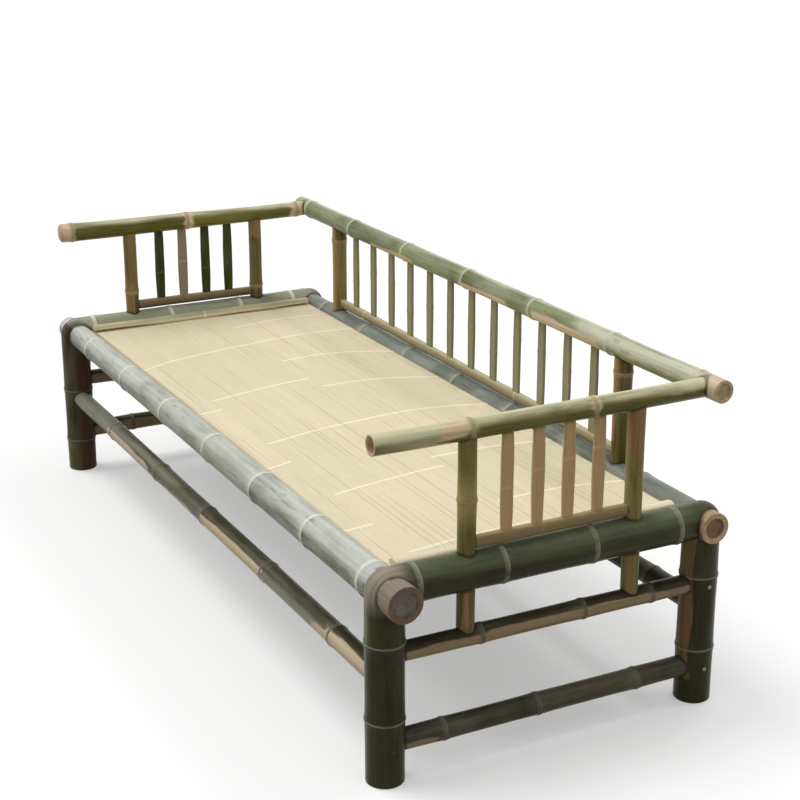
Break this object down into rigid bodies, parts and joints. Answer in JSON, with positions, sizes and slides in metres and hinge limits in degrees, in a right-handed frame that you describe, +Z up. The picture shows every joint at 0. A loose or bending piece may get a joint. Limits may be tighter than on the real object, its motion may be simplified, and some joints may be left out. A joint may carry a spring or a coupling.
{
  "type": "bamboo daybed",
  "caption": "Daybed of bamboo culms with folded end frames, long rails, a boarded seat, slatted arms and a slatted back.",
  "frame": {"origin": "on the floor, under the middle of the bed", "axes": "+X along the bed to its right end, +Y from the open front to the back, +Z up"},
  "size_m": [2.064, 0.806, 0.7147],
  "materials": {
    "long_rail": "waxy grey-green bamboo skin",
    "end_frame": "dark green bamboo skin, glossy, scorched at the folds",
    "stretcher": "dark green bamboo skin with tan patches",
    "peg": "cut bamboo, matt",
    "arm_rail": "olive green bamboo skin, glossy",
    "post": "olive green bamboo skin",
    "strip": "split bamboo, brown inner side",
    "arm_slat": "split bamboo, half skin and half inner side",
    "top_rail": "pale grey-green bamboo skin",
    "back_slat": "split bamboo, olive grey",
    "seat_board": "flattened bamboo, inner side up, satin",
    "batten": "pale yellow-green split bamboo",
    "bearer": "bamboo culm, matt"
  },
  "bodies": {
    "root": {"front_rail": "long_rail", "back_rail": "long_rail", "left_end_frame": "end_frame", "right_end_frame": "end_frame", "front_stretcher": "stretcher", "back_stretcher": "stretcher", "left_upper_stretcher": "stretcher", "left_lower_stretcher": "stretcher", "right_upper_stretcher": "stretcher", "right_lower_stretcher": "stretcher", "left_upper_front_peg": "peg", "left_upper_back_peg": "peg", "left_lower_front_peg": "peg", "left_lower_back_peg": "peg", "right_upper_front_peg": "peg", "right_upper_back_peg": "peg", "right_lower_front_peg": "peg", "right_lower_back_peg": "peg", "left_arm_rail": "arm_rail", "right_arm_rail": "arm_rail", "left_front_arm_post": "post", "left_back_arm_post": "post", "right_front_arm_post": "post", "right_back_arm_post": "post", "left_back_post": "post", "right_back_post": "post", "left_arm_strip": "strip", "right_arm_strip": "strip", "back_strip": "strip", "left_arm_slat_1": "arm_slat", "left_arm_slat_2": "arm_slat", "left_arm_slat_3": "arm_slat", "left_arm_slat_4": "arm_slat", "right_arm_slat_1": "arm_slat", "right_arm_slat_2": "arm_slat", "right_arm_slat_3": "arm_slat", "right_arm_slat_4": "arm_slat", "back_top_rail": "top_rail", "back_slat_01": "back_slat", "back_slat_02": "back_slat", "back_slat_03": "back_slat", "back_slat_04": "back_slat", "back_slat_05": "back_slat", "back_slat_06": "back_slat", "back_slat_07": "back_slat", "back_slat_08": "back_slat", "back_slat_09": "back_slat", "back_slat_10": "back_slat", "back_slat_11": "back_slat", "back_slat_12": "back_slat", "seat_board_front": "seat_board", "seat_board_middle": "seat_board", "seat_board_back": "seat_board", "left_batten": "batten", "right_batten": "batten", "seat_bearer_1": "bearer", "seat_bearer_2": "bearer", "seat_bearer_3": "bearer", "seat_bearer_4": "bearer", "seat_bearer_5": "bearer"}
  },
  "joints": []
}
